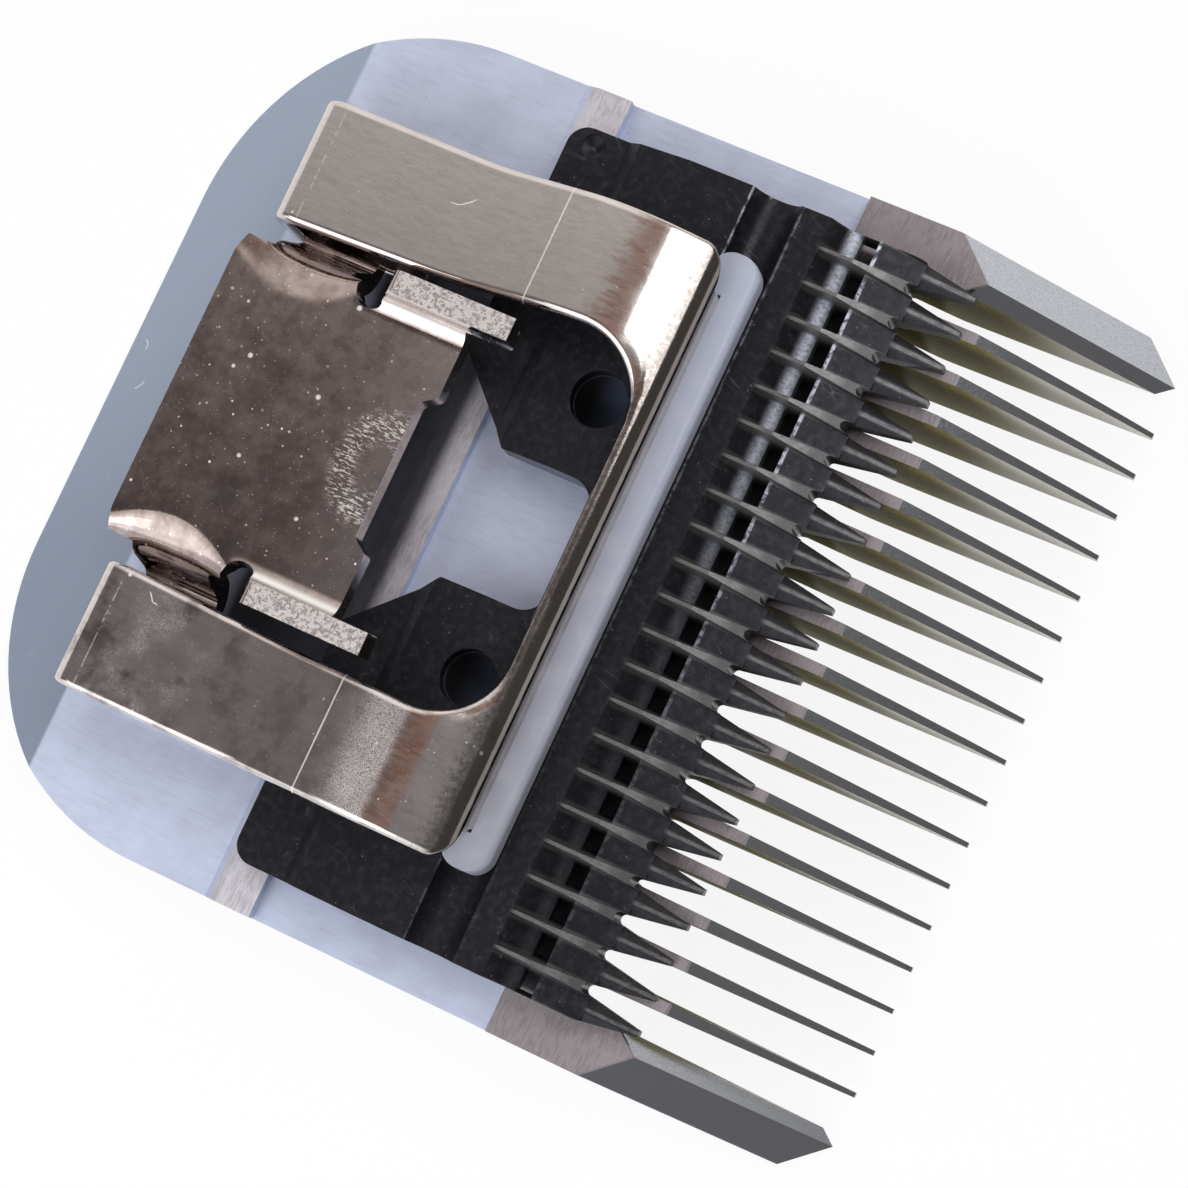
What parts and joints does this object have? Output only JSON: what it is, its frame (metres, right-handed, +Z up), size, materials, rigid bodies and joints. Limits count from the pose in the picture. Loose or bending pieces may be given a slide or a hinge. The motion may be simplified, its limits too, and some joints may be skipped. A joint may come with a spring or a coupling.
{
  "type": "hair clipper blade",
  "caption": "Detachable clipper blade set: long-tooth steel comb, black sliding cutter, nylon guide bar, bent tension spring and an arched socket for the clipper's hinge tongue.",
  "frame": {"origin": "centre of the footprint at the surface that the blade lies on", "axes": "+X across the blade, +Y towards its rear edge, teeth towards -Y, +Z up with the cutter on top"},
  "size_m": [0.05, 0.0554, 0.0143],
  "materials": {
    "comb_steel": "satin ground steel",
    "black_steel": "black oxide",
    "nylon": "milky white nylon",
    "nickel_plate": "bright nickel plate",
    "screw_steel": "zinc plated"
  },
  "bodies": {
    "fixed_set": {"comb": "comb_steel", "blade_guide": "nylon", "tension_spring": "nickel_plate", "socket": "nickel_plate", "socket_screws": "screw_steel"},
    "moving_blade": {"cutter": "black_steel"}
  },
  "joints": [
    {"name": "cutter_slide", "type": "slide", "parent": "fixed_set", "child": "moving_blade", "axis": [1, 0, 0], "range_m": [-0.00125, 0.00125]}
  ]
}
